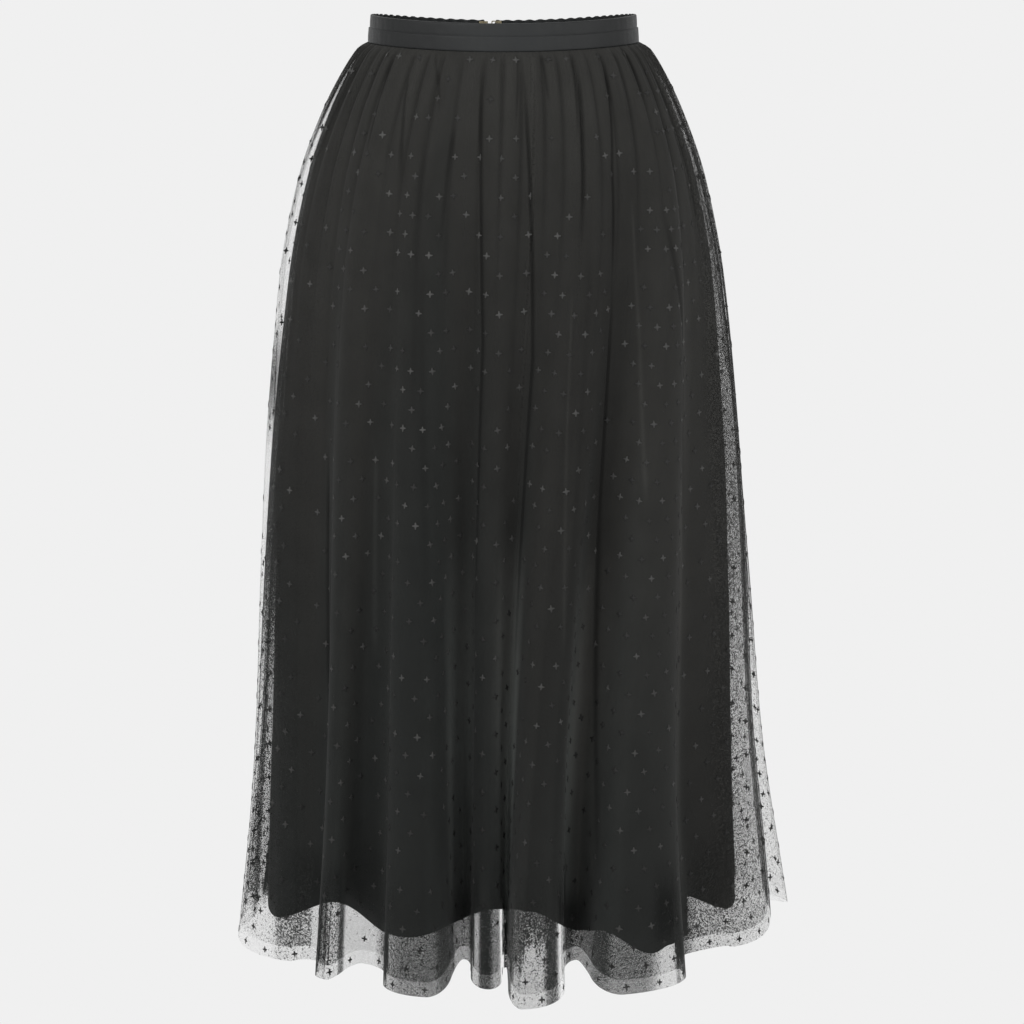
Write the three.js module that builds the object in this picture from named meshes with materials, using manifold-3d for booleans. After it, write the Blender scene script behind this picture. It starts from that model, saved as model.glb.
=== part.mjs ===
// A black tulle midi skirt that keeps the shape of its wearer: two gathered layers of net over a
// plain lining, all hanging from a folded waistband with a gathered elastic back and a zip.
// Millimetres, +Z up. The front looks towards -Y, and the origin is the middle of the waist.
import * as THREE from "three";
import { mergeVertices } from "three/addons/utils/BufferGeometryUtils.js";
import Module from "manifold-3d";

// Driving dimensions
const waistHalfWidth = 117;
const waistHalfDepth = 88;
const bandHeight = 23.5;
const bandTopAtSides = 12.5;
const bandFlare = 1.4; // the band's lower edge lies this much further out than its upper edge
const frontDip = 3.6; // how much lower the waist lies at the front than at the sides
const backDip = 9;
const netLength = 780; // from the band down to the hem of the outer net, at a valley
const underShorter = 11.5;
const liningLength = 741;
const netThickness = 1;
const liningThickness = 1.2;
const bandThickness = 3;
const layerGap = 0.5;
const seamGap = 0.3;
const closureAngle = 186; // where the back opens, in degrees round the waist from the front
const zipLength = 175;

const degree = Math.PI / 180;

// One row for each level: mm below the band, the ring on which the outer net's valleys lie (half its
// width and its depth to the front and to the back), how far inside that ring the lining hangs at the
// sides and at the front and back, the share of each fold's full depth, how far the gathers stand, and
// how far the outer net swells away from the under net at the left.
const LEVELS = [
  { below: 0, width: 119, front: 89.8, back: 89.8, side: 2.9, inset: 2.9, fold: 0, gather: 5, swell: 0 },
  { below: 18, width: 131.2, front: 97, back: 99, side: 3.1, inset: 3.1, fold: 0.02, gather: 4.4, swell: 1 },
  { below: 58, width: 151.5, front: 107, back: 113, side: 3.6, inset: 3.6, fold: 0.05, gather: 3.4, swell: 3 },
  { below: 118, width: 172.5, front: 117, back: 127, side: 4.7, inset: 5, fold: 0.1, gather: 2.2, swell: 5.5 },
  { below: 208, width: 189, front: 125, back: 137, side: 5.5, inset: 6.8, fold: 0.19, gather: 1.1, swell: 7 },
  { below: 438, width: 206, front: 133, back: 144, side: 6, inset: 11.5, fold: 0.42, gather: 0, swell: 3 },
  { below: 608, width: 212, front: 138, back: 148, side: 7, inset: 15.5, fold: 0.66, gather: 0, swell: 0 },
  { below: 780, width: 222, front: 142, back: 152, side: 11, inset: 20, fold: 1, gather: 0, swell: 0 },
];
const swellAngle = -94;
const swellReach = 34; // degrees to each side

// One row for each hanging fold of net, round from the left side seam: its first valley, its left
// flank, its crest, its right flank, and the number of gathers that feed it. The flanks are angles at
// the hem, in degrees from the front. A valley or crest is such an angle, how far it stands out from
// the ring, and how much lower it hangs.
const line = (angle, stand, lower) => ({ angle, stand, lower });
const FRONT_FOLDS = [
  { valley: line(-101, 0, 0), left: -88, crest: line(-66, 22, 15), right: -52, gathers: 5 },
  { valley: line(-47.5, 2, 13), left: -41, crest: line(-35.8, 52, 9), right: -34.6, gathers: 3 },
  { valley: line(-32.5, 10, 5), left: -24, crest: line(-14, 78, 7), right: -10.5, gathers: 3 },
  { valley: line(-9.3, -12, 0), left: -7, crest: line(-3, 46, 8), right: -0.1, gathers: 3 },
  { valley: line(0.5, 4, 2), left: 0.8, crest: line(3.2, 92, 12), right: 12, gathers: 5 },
  { valley: line(16.5, 0, 0), left: 17.5, crest: line(22, 78, 9), right: 38, gathers: 3 },
  { valley: line(47, 4, 6), left: 60, crest: line(76, 18, 9), right: 90, gathers: 3 },
];
const RIGHT_BACK_FOLDS = [
  { valley: line(98, 20, 0), left: 106, crest: line(114, 62, 13), right: 121, gathers: 3 },
  { valley: line(127, 0, 4), left: 131, crest: line(137, 46, 10), right: 143, gathers: 3 },
  { valley: line(147, 2, 0), left: 152, crest: line(158, 50, 12), right: 163, gathers: 3 },
  { valley: line(168, -2, 3), left: 172, crest: line(177, 56, 10), right: 181, gathers: 3 },
];
const LEFT_BACK_FOLDS = [
  { valley: line(186, 0, 0), left: 191, crest: line(197, 48, 9), right: 203, gathers: 3 },
  { valley: line(207, 2, 5), left: 211, crest: line(217, 58, 12), right: 222, gathers: 3 },
  { valley: line(227, -2, 0), left: 231, crest: line(238, 44, 10), right: 243, gathers: 3 },
  { valley: line(247, 2, 4), left: 250, crest: line(253, 27, 9), right: 256, gathers: 3 },
];

// One row for each soft wave of the lining, round from the left side: the angle of its valley and of
// its crest, how far each stands in or out at the hem, and how much lower each hangs.
const LINING_WAVES = [
  { valley: -93, crest: -70, into: 0, out: 9, valleyLower: 6, crestLower: 28 },
  { valley: -46, crest: -23, into: -12, out: 13, valleyLower: 6, crestLower: 21 },
  { valley: -2, crest: 3, into: -13, out: -13, valleyLower: 0, crestLower: 0 },
  { valley: 6, crest: 19, into: -13, out: -2, valleyLower: 2, crestLower: 18 },
  { valley: 23, crest: 37, into: -1, out: 13, valleyLower: 19, crestLower: 41 },
  { valley: 42, crest: 47, into: 12, out: 14, valleyLower: 36, crestLower: 30 },
  { valley: 51.5, crest: 68, into: -13, out: 8, valleyLower: 3, crestLower: 19 },
  { valley: 88, crest: 112, into: -4, out: 12, valleyLower: 5, crestLower: 16 },
  { valley: 134, crest: 156, into: -12, out: 13, valleyLower: 2, crestLower: 18 },
  { valley: 178, crest: 200, into: -11, out: 12, valleyLower: 4, crestLower: 17 },
  { valley: 224, crest: 246, into: -12, out: 8, valleyLower: 3, crestLower: 16 },
];

const columnsPerGather = 4;
const liningColumnDegrees = 4;
const outerRows = [0, 18, 58, 118, 208, 438, 608, netLength];
const underRows = [0, 58, 118, 208, 438, 608, netLength - underShorter];
const liningRows = [0, 58, 118, 208, 438, liningLength];

const mix = (a, b, share) => a + (b - a) * share;
const bump = (share) => (1 - Math.cos(Math.PI * share)) / 2;

// The value of one column of LEVELS, that far below the band.
function level(name, below) {
  const i = LEVELS.findIndex((row) => row.below >= below - 1e-6);
  if (i <= 0) return LEVELS[Math.max(i, 0)][name];
  const [from, to] = [LEVELS[i - 1], LEVELS[i]];
  return mix(from[name], to[name], (below - from.below) / (to.below - from.below));
}

// A point of an oval ring and the outward direction there, for an angle from the front.
function onRing(angle, width, front, back) {
  const sine = Math.sin(angle * degree);
  const cosine = Math.cos(angle * degree);
  const depth = cosine > 0 ? front : back;
  const out = new THREE.Vector2(sine / width, -cosine / depth).normalize();
  return { point: new THREE.Vector2(width * sine, -depth * cosine), out };
}

// The height of the waistband's upper edge. The lower edge, where the cloth begins, runs parallel.
function bandTop(angle) {
  const cosine = Math.cos(angle * degree);
  return bandTopAtSides - (cosine > 0 ? frontDip : backDip) * cosine * cosine;
}
const clothTop = (angle) => bandTop(angle) - bandHeight - seamGap;

// Half a fold, from a valley to the next crest: where a share of it lies round the hem. The cloth runs
// along the ring at both ends and straight out at its flank.
function alongHalfFold(valley, flank, crest, share) {
  const quarter = Math.PI * share;
  if (share < 0.5) return mix(valley, flank, Math.sin(quarter));
  return mix(crest, flank, Math.sin(quarter));
}

// The upright threads of the net between two seams: where each starts at the waist, where it would
// hang if the net were spread evenly, and where it lies at the hem.
function netColumns(folds, fromAngle, toAngle, nextFold) {
  const gathers = folds.reduce((sum, fold) => sum + fold.gathers, 0);
  const columns = [];
  folds.forEach((fold, i) => {
    const next = i + 1 < folds.length ? folds[i + 1] : nextFold;
    const count = fold.gathers * columnsPerGather;
    for (let j = 0; j < count; j++) {
      const across = j / count;
      const leftHalf = across < 0.5;
      const near = leftHalf ? fold.valley : next.valley;
      const rise = leftHalf ? 2 * across : 2 * (1 - across);
      const flank = leftHalf ? fold.left : fold.right;
      columns.push({
        waist: mix(fromAngle, toAngle, columns.length / (gathers * columnsPerGather)),
        even: mix(fold.valley.angle, next.valley.angle, across),
        hem: alongHalfFold(near.angle, flank, fold.crest.angle, rise),
        out: mix(near.stand, fold.crest.stand, bump(rise)),
        lower: mix(near.lower, fold.crest.lower, bump(rise)),
        gather: bump((2 * (j % columnsPerGather)) / columnsPerGather),
      });
    }
  });
  return columns;
}

const firstValley = FRONT_FOLDS[0].valley;
const firstFold = { ...FRONT_FOLDS[0], valley: { ...firstValley, angle: firstValley.angle + 360 } };
const netPanels = {
  front: netColumns(FRONT_FOLDS, -90, 90, RIGHT_BACK_FOLDS[0]),
  back_right: netColumns(RIGHT_BACK_FOLDS, 90, closureAngle, LEFT_BACK_FOLDS[0]),
  back_left: netColumns(LEFT_BACK_FOLDS, closureAngle, 270, firstFold),
};
const netRing = Object.values(netPanels).flat();

// The share of the swell that an angle round the skirt has.
function swellAt(angle) {
  const away = Math.abs(((angle - swellAngle + 540) % 360) - 180);
  return bump(Math.max(0, 1 - away / swellReach));
}

// A point of the net's own surface, before its thickness. gathered is 1 on the outer layer.
function netPoint(column, below, gathered) {
  const share = below / netLength;
  const drift = 1 - (1 - share) ** 2;
  const fold = level("fold", below);
  const angle = mix(column.waist, column.even, drift) + (column.hem - column.even) * fold;
  const sizes = ["width", "front", "back"].map((name) => level(name, below));
  const { point, out } = onRing(angle, ...sizes);
  const loose = column.gather * level("gather", below) + swellAt(angle) * level("swell", below);
  const stand = column.out * fold + gathered * loose;
  point.addScaledVector(out, stand);
  return new THREE.Vector3(point.x, point.y, clothTop(column.waist) - below - column.lower * share);
}

// The outward direction of a closed ring of points at each of them, in the horizontal plane.
function ringNormals(points) {
  return points.map((_, i) => {
    const before = points.at(i - 1);
    const after = points[(i + 1) % points.length];
    return new THREE.Vector3(after.y - before.y, before.x - after.x, 0).normalize();
  });
}

// Rows of points and of outward directions for a whole layer, from a function of column and level.
function layer(ring, rows, pointAt) {
  return rows.map((below) => {
    const points = ring.map((column) => pointAt(column, below));
    return { points, normals: ringNormals(points) };
  });
}

// A run of a layer's columns as outer and inner rows of points, standing back from both seams.
function panelRows(rows, first, count, inset, thickness) {
  const faces = { outer: [], inner: [] };
  for (const { points, normals } of rows) {
    const at = (list, i) => list[(i + list.length) % list.length];
    const outer = [];
    const inner = [];
    for (let i = first; i <= first + count; i++) {
      const along = new THREE.Vector3().subVectors(at(points, i + 1), at(points, i - 1)).normalize();
      const back = i === first ? seamGap / 2 : i === first + count ? -seamGap / 2 : 0;
      const base = at(points, i).clone().addScaledVector(along, back);
      outer.push(base.clone().addScaledVector(at(normals, i), -inset));
      inner.push(base.clone().addScaledVector(at(normals, i), -inset - thickness));
    }
    faces.outer.push(outer);
    faces.inner.push(inner);
  }
  return faces;
}

// A closed wall between two grids of points, rows from top to bottom and columns to the right.
function wallGeometry({ outer, inner }) {
  const rows = outer.length;
  const columns = outer[0].length;
  const points = [...outer.flat(), ...inner.flat()];
  const index = [];
  const outerAt = (r, c) => r * columns + c;
  const innerAt = (r, c) => rows * columns + r * columns + c;
  const quad = (a, b, c, d) => index.push(a, b, c, a, c, d);
  for (let r = 0; r + 1 < rows; r++) {
    for (let c = 0; c + 1 < columns; c++) {
      quad(outerAt(r, c), outerAt(r + 1, c), outerAt(r + 1, c + 1), outerAt(r, c + 1));
      const [a, b, d, e] = [innerAt(r, c), innerAt(r, c + 1), innerAt(r + 1, c + 1), innerAt(r + 1, c)];
      index.push(a, d, e, a, b, d);
    }
    quad(innerAt(r, 0), innerAt(r + 1, 0), outerAt(r + 1, 0), outerAt(r, 0));
    const last = columns - 1;
    quad(outerAt(r, last), outerAt(r + 1, last), innerAt(r + 1, last), innerAt(r, last));
  }
  for (let c = 0; c + 1 < columns; c++) {
    quad(innerAt(0, c), outerAt(0, c), outerAt(0, c + 1), innerAt(0, c + 1));
    const last = rows - 1;
    quad(outerAt(last, c), innerAt(last, c), innerAt(last, c + 1), outerAt(last, c + 1));
  }
  const geometry = new THREE.BufferGeometry().setFromPoints(points);
  geometry.setIndex(index);
  return geometry;
}

const satin = new THREE.MeshStandardMaterial({ color: 0x24272a, roughness: 0.42 });
const spottedNet = new THREE.MeshStandardMaterial({ color: 0x1b1a1a, roughness: 0.8 });
const plainNet = new THREE.MeshStandardMaterial({ color: 0x17181a, roughness: 0.85 });
const liningCloth = new THREE.MeshStandardMaterial({ color: 0x121315, roughness: 0.7 });
const tapeCloth = new THREE.MeshStandardMaterial({ color: 0x151515, roughness: 0.8 });
const metal = new THREE.MeshStandardMaterial({ color: 0xb59a5c, roughness: 0.35, metalness: 1 });
const blackMetal = new THREE.MeshStandardMaterial({ color: 0x1d1d1f, roughness: 0.4, metalness: 0.6 });

const skirt = new THREE.Group();
function addPiece(name, geometry, material) {
  const mesh = new THREE.Mesh(geometry, material);
  mesh.name = name;
  skirt.add(mesh);
  return mesh;
}

// Adds one piece for each panel of a layer, in the order in which the panels follow one another.
function addPanels(prefix, rows, counts, inset, thickness, material) {
  let first = 0;
  for (const [panel, count] of Object.entries(counts)) {
    const faces = panelRows(rows, first, count, inset, thickness);
    addPiece(`${prefix}_${panel}`, wallGeometry(faces), material);
    first += count;
  }
}

// Net layers
const netCounts = Object.fromEntries(Object.entries(netPanels).map(([name, list]) => [name, list.length]));
const outerLayer = layer(netRing, outerRows, (column, below) => netPoint(column, below, 1));
addPanels("outer_net", outerLayer, netCounts, 0, netThickness, spottedNet);
const underLayer = layer(netRing, underRows, (column, below) => netPoint(column, below, 0));
addPanels("under_net", underLayer, netCounts, netThickness + layerGap, netThickness, plainNet);

// How far the lining stands out, and how much lower it hangs, at an angle round the hem.
function liningWave(angle) {
  const turned = angle < LINING_WAVES[0].valley ? angle + 360 : angle;
  const i = LINING_WAVES.findLastIndex((row) => row.valley <= turned);
  const row = LINING_WAVES[i];
  const next = LINING_WAVES[i + 1] ?? { ...LINING_WAVES[0], valley: LINING_WAVES[0].valley + 360 };
  const rising = turned < row.crest;
  const valley = rising ? row : next;
  const share = bump((turned - valley.valley) / (row.crest - valley.valley));
  return { out: mix(valley.into, row.out, share), lower: mix(valley.valleyLower, row.crestLower, share) };
}

function liningPoint(angle, below) {
  const share = below / liningLength;
  const inset = level("inset", below);
  const width = level("width", below) - level("side", below);
  const { point, out } = onRing(angle, width, level("front", below) - inset, level("back", below) - inset);
  const wave = liningWave(angle);
  point.addScaledVector(out, wave.out * share ** 1.5);
  return new THREE.Vector3(point.x, point.y, clothTop(angle) - below - wave.lower * share);
}

// Lining
const liningSpans = { front: [-90, 90], back_right: [90, closureAngle], back_left: [closureAngle, 270] };
const liningAngles = [];
const liningCounts = {};
for (const [panel, [from, to]] of Object.entries(liningSpans)) {
  const count = Math.round((to - from) / liningColumnDegrees);
  for (let i = 0; i < count; i++) liningAngles.push(mix(from, to, i / count));
  liningCounts[panel] = count;
}
const liningLayer = layer(liningAngles, liningRows, liningPoint);
addPanels("lining", liningLayer, liningCounts, 0, liningThickness, liningCloth);

// Waistband. Its lower half is a tuck that stands proud of its upper half.
const tuckDown = 11;
const tuckStep = 0.9;
const bandEdgeRound = 0.6;
const FRONT_BAND = [
  { down: 0, out: -tuckStep - bandEdgeRound },
  { down: 0.8, out: -tuckStep },
  { down: tuckDown - 0.3, out: -tuckStep },
  { down: tuckDown, out: 0 },
  { down: bandHeight, out: 0 },
];
const BACK_BAND = [
  { down: 0, out: -tuckStep },
  { down: tuckDown - 0.3, out: -tuckStep },
  { down: tuckDown, out: 0 },
  { down: bandHeight, out: 0 },
];
const frontBandColumns = 36;
const ruchePitch = 9.2;
const rucheDepth = 1.3;
const rucheRise = 0.8; // the gathered back edge rises between its stitches
const columnsPerRuche = 4;
const notchHalfWidth = 4.8; // of the V above the zip, at the upper edge
const notchDepth = 11;

// A stretch of the band from its profile. Ruches wave its outer side, and cut gives the distance by
// which each end stands back, that far down.
function bandFaces(profile, from, to, columns, ruches, cut) {
  const ringLength = (Math.PI * (waistHalfWidth + waistHalfDepth)) / 360;
  const faces = { outer: [], inner: [] };
  for (const { down, out } of profile) {
    const flare = (bandFlare * (down - bandHeight)) / bandHeight;
    const outer = [];
    const inner = [];
    const [start, end] = cut(down).map((distance) => distance / ringLength);
    for (let c = 0; c <= columns; c++) {
      const angle = mix(from + start, to - end, c / columns);
      const wave = ruches ? bump((2 * (c * ruches)) / columns) : 0;
      const stand = out + flare - rucheDepth * wave;
      const rise = down === 0 ? -rucheRise * wave : 0;
      const { point, out: outward } = onRing(angle, waistHalfWidth, waistHalfDepth, waistHalfDepth);
      const z = bandTop(angle) - down + rise;
      const face = point.clone().addScaledVector(outward, stand);
      const lining = point.clone().addScaledVector(outward, flare - bandThickness);
      outer.push(new THREE.Vector3(face.x, face.y, z));
      inner.push(new THREE.Vector3(lining.x, lining.y, z));
    }
    faces.outer.push(outer);
    faces.inner.push(inner);
  }
  return faces;
}

const seamCut = seamGap / 2;
const notchCut = (down) => seamCut + notchHalfWidth * Math.max(0, 1 - down / notchDepth);
const degreesLong = (degrees) => ((Math.PI * (waistHalfWidth + waistHalfDepth)) / 360) * degrees;
const rightRuches = Math.round(degreesLong(closureAngle - 90) / ruchePitch);
const leftRuches = Math.round(degreesLong(270 - closureAngle) / ruchePitch);
const frontBand = bandFaces(FRONT_BAND, -90, 90, frontBandColumns, 0, () => [seamCut, seamCut]);
addPiece("waistband_front", wallGeometry(frontBand), satin);
const rightCut = (down) => [seamCut, notchCut(down)];
const rightBand = bandFaces(BACK_BAND, 90, closureAngle, rightRuches * columnsPerRuche, rightRuches, rightCut);
addPiece("waistband_back_right", wallGeometry(rightBand), satin);
const leftCut = (down) => [notchCut(down), seamCut];
const leftBand = bandFaces(BACK_BAND, closureAngle, 270, leftRuches * columnsPerRuche, leftRuches, leftCut);
addPiece("waistband_back_left", wallGeometry(leftBand), satin);

// The frame at the back opening: across it towards the right, out from the skirt, and up.
const opening = onRing(closureAngle, waistHalfWidth, waistHalfDepth, waistHalfDepth);
const openingOut = new THREE.Vector3(opening.out.x, opening.out.y, 0);
const openingAcross = new THREE.Vector3(opening.out.y, -opening.out.x, 0);

// Places a geometry made in that frame. Out is measured from the ring of the band's lower edge, and up
// from its upper edge.
function placeAtOpening(geometry) {
  const frame = new THREE.Matrix4().makeBasis(openingAcross, openingOut, new THREE.Vector3(0, 0, 1));
  frame.setPosition(opening.point.x, opening.point.y, bandTop(closureAngle));
  return geometry.applyMatrix4(frame);
}

// A shape drawn in across and up, standing from one distance out to another.
function standingPlate(shape, from, to) {
  const settings = { depth: to - from, bevelEnabled: false, curveSegments: 3 };
  const plate = new THREE.ExtrudeGeometry(shape, settings);
  return plate.rotateX(Math.PI / 2).translate(0, to, 0);
}

// A shape drawn in out and up, centred on the opening and as wide as given.
function sidePlate(shape, width) {
  const settings = { depth: width, bevelEnabled: false, curveSegments: 3 };
  const plate = new THREE.ExtrudeGeometry(shape, settings);
  return plate.translate(0, 0, -width / 2).rotateX(Math.PI / 2).rotateZ(Math.PI / 2);
}

// A box with rounded corners, drawn as a shape or as a hole in one.
function roundedBox(path, { left, bottom, width, height, radius }) {
  const right = left + width;
  const top = bottom + height;
  path.moveTo(left + radius, bottom);
  path.lineTo(right - radius, bottom);
  path.quadraticCurveTo(right, bottom, right, bottom + radius);
  path.lineTo(right, top - radius);
  path.quadraticCurveTo(right, top, right - radius, top);
  path.lineTo(left + radius, top);
  path.quadraticCurveTo(left, top, left, top - radius);
  path.lineTo(left, bottom + radius);
  path.quadraticCurveTo(left, bottom, left + radius, bottom);
  return path;
}

const solids = await Module();
solids.setup();
const { Manifold, Mesh } = solids;
function toSolid(geometry) {
  const bare = geometry.clone();
  bare.deleteAttribute("uv");
  bare.deleteAttribute("normal");
  const merged = mergeVertices(bare, 1e-4);
  const vertProperties = new Float32Array(merged.attributes.position.array);
  const triVerts = new Uint32Array(merged.index.array);
  return new Manifold(new Mesh({ numProp: 3, vertProperties, triVerts }));
}
function joined(...geometries) {
  const mesh = Manifold.union(geometries.map(toSolid)).getMesh();
  const geometry = new THREE.BufferGeometry();
  geometry.setAttribute("position", new THREE.BufferAttribute(mesh.vertProperties, 3));
  geometry.setIndex(new THREE.BufferAttribute(mesh.triVerts, 1));
  return geometry;
}

// Zip tapes, one on each side of the opening, inside the band and the lining
const tapeTop = 5.5; // how far below the band's upper edge they begin
const tapeWidth = 12;
const tapeThickness = 1;
const tapeInset = 0.5;
const bandLength = bandHeight + seamGap;
const tapeRowsOnLining = [0, 58, 118, zipLength].map((below) => bandLength + below);
const tapeRows = [tapeTop, notchDepth, bandHeight, ...tapeRowsOnLining];
function tapeFaces(side) {
  const faces = { outer: [], inner: [] };
  for (const down of tapeRows) {
    const onBand = down <= bandHeight;
    const below = Math.max(0, down - bandLength);
    const flare = Math.min(0, (bandFlare * (down - bandHeight)) / bandHeight);
    const inset = tapeInset + (onBand ? bandThickness - flare : liningThickness);
    const perDegree = (degreesLong(1) * level("width", below)) / waistHalfWidth;
    const edges = side > 0 ? [notchCut(down), tapeWidth] : [tapeWidth, notchCut(down)];
    const angles = edges.map((edge) => closureAngle + (side * edge) / perDegree);
    const rows = [inset, inset + tapeThickness].map((depth) =>
      angles.map((angle) => {
        const { point, out } = onRing(angle, waistHalfWidth, waistHalfDepth, waistHalfDepth);
        const onRim = new THREE.Vector3(point.x, point.y, bandTop(angle) - down);
        const onCloth = onBand ? onRim : liningPoint(angle, below);
        return onCloth.addScaledVector(new THREE.Vector3(out.x, out.y, 0), -depth);
      }),
    );
    faces.outer.push(rows[0]);
    faces.inner.push(rows[1]);
  }
  return faces;
}
addPiece("zip_tape_left", wallGeometry(tapeFaces(1)), tapeCloth);
addPiece("zip_tape_right", wallGeometry(tapeFaces(-1)), tapeCloth);

// Zip slider, inside the skirt. Its arm comes out through the V and holds the pull in an arch.
const hingeUp = -6.8;
const hingeOut = 1.2;
const sliderFace = -6.1;
const sliderPlate = { left: -2.8, bottom: -13.4, width: 5.6, height: 8.2, radius: 1.3 };
const sliderThickness = 1.8;
const archHole = 1; // half its width, round the pull's bar
const archWall = 0.9;
const archWidth = 1.4;
const armHalfHeight = 0.9;
const archHalf = archHole + archWall;
const plateShape = roundedBox(new THREE.Shape(), sliderPlate);
const plate = standingPlate(plateShape, sliderFace - sliderThickness, sliderFace);
function archSquare(half, radius) {
  return { left: hingeOut - half, bottom: hingeUp - half, width: 2 * half, height: 2 * half, radius };
}
const archShape = roundedBox(new THREE.Shape(), archSquare(archHalf, 0.8));
archShape.holes.push(roundedBox(new THREE.Path(), archSquare(archHole, 0.4)));
const armShape = new THREE.Shape();
armShape.moveTo(sliderFace - 0.4, hingeUp - armHalfHeight);
armShape.lineTo(hingeOut - archHole - 0.4, hingeUp - armHalfHeight);
armShape.lineTo(hingeOut - archHole - 0.4, hingeUp + armHalfHeight);
armShape.lineTo(sliderFace - 0.4, hingeUp + armHalfHeight);
armShape.closePath();
const slider = joined(plate, sidePlate(armShape, archWidth), sidePlate(archShape, archWidth));
addPiece("zip_slider", placeAtOpening(slider), blackMetal);

// Zip pull, a flat tab that hangs by its bar from the arch
const pullThickness = 1;
const pullWidth = 4.4;
const pullLength = 15.5;
const barHalf = 0.55;
const windowWidth = 2.6;
const windowHeight = 2.8;
const pullLow = hingeUp + barHalf - pullLength;
const pullEdge = { left: -pullWidth / 2, bottom: pullLow, width: pullWidth, height: pullLength, radius: 0.9 };
const windowLeft = -windowWidth / 2;
const windowLow = hingeUp - barHalf - windowHeight;
const windowSize = { width: windowWidth, height: windowHeight, radius: 0.4 };
const windowEdge = { left: windowLeft, bottom: windowLow, ...windowSize };
const pullShape = roundedBox(new THREE.Shape(), pullEdge);
pullShape.holes.push(roundedBox(new THREE.Path(), windowEdge));
const pull = standingPlate(pullShape, hingeOut - pullThickness / 2, hingeOut + pullThickness / 2);
addPiece("zip_pull", placeAtOpening(pull), blackMetal);

// Hook and eye, flat metal, on the inside of the band's two ends. They are left undone.
const fastenerFace = -4.75;
const hookLow = -4.6;
const hookHeight = 3.4;
const HOOK = [
  { across: -10, out: 0 },
  { across: -10, out: -0.7 },
  { across: -3.4, out: -0.7 },
  { across: -2.9, out: -1.1 },
  { across: -2.9, out: -1.35 },
  { across: -3.4, out: -1.75 },
  { across: -6.2, out: -1.75 },
  { across: -6.2, out: -2.4 },
  { across: -3, out: -2.4 },
  { across: -2.2, out: -1.75 },
  { across: -2.2, out: -0.65 },
  { across: -3, out: 0 },
];
const hookPoints = HOOK.map(({ across, out }) => new THREE.Vector2(across, fastenerFace + out));
const hookShape = new THREE.Shape(hookPoints);
const hook = new THREE.ExtrudeGeometry(hookShape, { depth: hookHeight, bevelEnabled: false });
addPiece("hook", placeAtOpening(hook.translate(0, 0, hookLow)), metal);
const eyeShape = roundedBox(new THREE.Shape(), { left: 1, bottom: -4.8, width: 9, height: 4, radius: 1.2 });
const eyeHole = { left: 1.9, bottom: -3.9, width: 2.8, height: 2.2, radius: 0.7 };
eyeShape.holes.push(roundedBox(new THREE.Path(), eyeHole));
addPiece("eye", placeAtOpening(standingPlate(eyeShape, fastenerFace - 0.8, fastenerFace)), metal);

export default skirt;
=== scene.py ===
"""The looks of a black tulle midi skirt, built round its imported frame. Metres, +Z up, front towards -Y.

The folds follow the same tables as the solids. The tables are in millimetres and degrees, and points
become metres when a mesh is made.
"""
import math

import bpy
import numpy as np
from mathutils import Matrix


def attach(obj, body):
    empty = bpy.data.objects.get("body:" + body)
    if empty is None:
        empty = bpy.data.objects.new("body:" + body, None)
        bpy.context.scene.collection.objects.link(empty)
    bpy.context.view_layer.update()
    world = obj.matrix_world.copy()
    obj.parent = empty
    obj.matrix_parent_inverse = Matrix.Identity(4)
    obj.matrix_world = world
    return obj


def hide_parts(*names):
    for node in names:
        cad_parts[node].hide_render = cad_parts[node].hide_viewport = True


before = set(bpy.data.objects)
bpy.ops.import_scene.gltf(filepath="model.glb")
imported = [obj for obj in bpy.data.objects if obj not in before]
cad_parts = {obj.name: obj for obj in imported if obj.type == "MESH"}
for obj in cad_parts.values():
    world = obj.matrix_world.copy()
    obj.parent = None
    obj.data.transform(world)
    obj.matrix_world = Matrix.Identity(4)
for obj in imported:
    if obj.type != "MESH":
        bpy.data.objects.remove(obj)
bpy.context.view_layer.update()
MM = 0.001

# The skirt's own sizes
WAIST_WIDTH = 117.0
WAIST_DEPTH = 88.0
BAND_HEIGHT = 23.5
BAND_TOP = 12.5
BAND_FLARE = 1.4
BAND_THICKNESS = 3.0
FRONT_DIP = 3.6
BACK_DIP = 9.0
NET_LENGTH = 780.0
UNDER_LENGTH = 768.5
LINING_LENGTH = 741.0
SEAM_GAP = 0.3
CLOSURE = 186.0

LEVELS = {
    "below": (0, 18, 58, 118, 208, 438, 608, 780),
    "width": (119, 131.2, 151.5, 172.5, 189, 206, 212, 222),
    "front": (89.8, 97, 107, 117, 125, 133, 138, 142),
    "back": (89.8, 99, 113, 127, 137, 144, 148, 152),
    "side": (2.9, 3.1, 3.6, 4.7, 5.5, 6, 7, 11),
    "inset": (2.9, 3.1, 3.6, 5, 6.8, 11.5, 15.5, 20),
    "fold": (0, 0.02, 0.05, 0.1, 0.19, 0.42, 0.66, 1),
    "gather": (5, 4.4, 3.4, 2.2, 1.1, 0, 0, 0),
    "swell": (0, 1, 3, 5.5, 7, 3, 0, 0),
}
SWELL_ANGLE = -94
SWELL_REACH = 34
TUCK = 1.6  # the net's top edge is drawn in under the band by this much
TUCK_REACH = 7.0

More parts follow.
